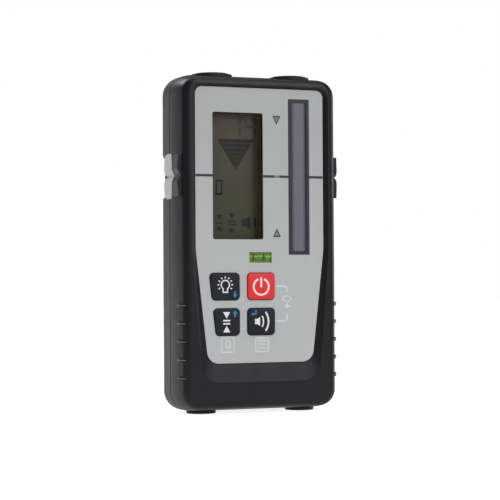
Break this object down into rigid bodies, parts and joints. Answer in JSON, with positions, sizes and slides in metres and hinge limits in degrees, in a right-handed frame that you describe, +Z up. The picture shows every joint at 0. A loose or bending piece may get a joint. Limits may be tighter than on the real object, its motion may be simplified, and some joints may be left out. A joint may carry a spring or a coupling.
{
  "type": "laser receiver",
  "caption": "Hand-held laser receiver: black case with grey panel, display, tall light sensor strip, level vial, keys, side marks, battery door and clamp thread.",
  "frame": {"origin": "middle of the box at the height of the feet's undersides", "axes": "+Z up, the panel faces -Y, +X to the right of someone who looks at the panel"},
  "size_m": [0.0788, 0.0294, 0.1546],
  "materials": {
    "shell_black": "moulded black plastic with a fine spark texture",
    "seal_rubber": "black elastomer gasket",
    "panel_grey": "light grey satin overlay",
    "clear_window": "clear polycarbonate window",
    "display_olive": "olive liquid crystal display",
    "inner_black": "black moulded plastic",
    "sensor_dark": "dark smoked frame",
    "sensor_strip": "ribbed grey-violet strip",
    "board_green": "green soldermask",
    "diode_dark": "dark filtered light cells",
    "vial_clear": "clear acrylic vial",
    "vial_green": "green level liquid",
    "key_navy": "satin blue-black key",
    "key_red": "satin red key",
    "contact_metal": "nickel plated sheet",
    "screw_steel": "turned steel",
    "screw_dark": "blackened steel",
    "marker_grey": "light grey plastic mark",
    "pad_rubber": "black rubber pad",
    "cell_jacket": "plain printed metal jacket",
    "insert_brass": "machined brass"
  },
  "bodies": {
    "housing": {"front_shell": "shell_black", "back_shell": "shell_black", "case_seal": "seal_rubber", "face_panel": "panel_grey", "display_window": "clear_window", "display_module": "display_olive", "display_frame": "inner_black", "vial_holder": "inner_black", "buzzer": "inner_black", "sensor_frame": "sensor_dark", "sensor_lens": "sensor_strip", "sensor_board": "board_green", "main_board": "board_green", "photodiodes": "diode_dark", "vial_tube": "vial_clear", "vial_liquid": "vial_green", "key_switches": "contact_metal", "battery_contacts": "contact_metal", "board_screws": "screw_steel", "case_screws": "screw_dark", "left_marker": "marker_grey", "right_marker": "marker_grey", "bumper_left": "pad_rubber", "bumper_right": "pad_rubber", "foot_left": "pad_rubber", "foot_right": "pad_rubber", "battery_cells": "cell_jacket", "door_inserts": "insert_brass", "clamp_insert": "insert_brass"},
    "backlight_key": {"backlight_key": "key_navy"},
    "power_key": {"power_key": "key_red"},
    "tolerance_key": {"tolerance_key": "key_navy"},
    "sound_key": {"sound_key": "key_navy"},
    "battery_door": {"battery_door": "shell_black", "door_seal": "seal_rubber"},
    "door_screw_upper": {"door_screw_upper": "screw_steel"},
    "door_screw_lower": {"door_screw_lower": "screw_steel"}
  },
  "joints": [
    {"name": "backlight_press", "type": "slide", "parent": "housing", "child": "backlight_key", "axis": [0, 1, 0], "range_m": [0, 0.0006], "stiffness_N_per_m": 2000},
    {"name": "power_press", "type": "slide", "parent": "housing", "child": "power_key", "axis": [0, 1, 0], "range_m": [0, 0.0006], "stiffness_N_per_m": 2000},
    {"name": "tolerance_press", "type": "slide", "parent": "housing", "child": "tolerance_key", "axis": [0, 1, 0], "range_m": [0, 0.0006], "stiffness_N_per_m": 2000},
    {"name": "sound_press", "type": "slide", "parent": "housing", "child": "sound_key", "axis": [0, 1, 0], "range_m": [0, 0.0006], "stiffness_N_per_m": 2000},
    {"name": "door_lift", "type": "slide", "parent": "housing", "child": "battery_door", "axis": [0, 1, 0], "range_m": [0, 0.03]},
    {"name": "door_screw_upper_turn", "type": "hinge", "parent": "battery_door", "child": "door_screw_upper", "pos_m": [0, 0.0135, 0.08225], "axis": [0, 1, 0], "continuous": true},
    {"name": "door_screw_lower_turn", "type": "hinge", "parent": "battery_door", "child": "door_screw_lower", "pos_m": [0, 0.0135, 0.01395], "axis": [0, 1, 0], "continuous": true}
  ]
}
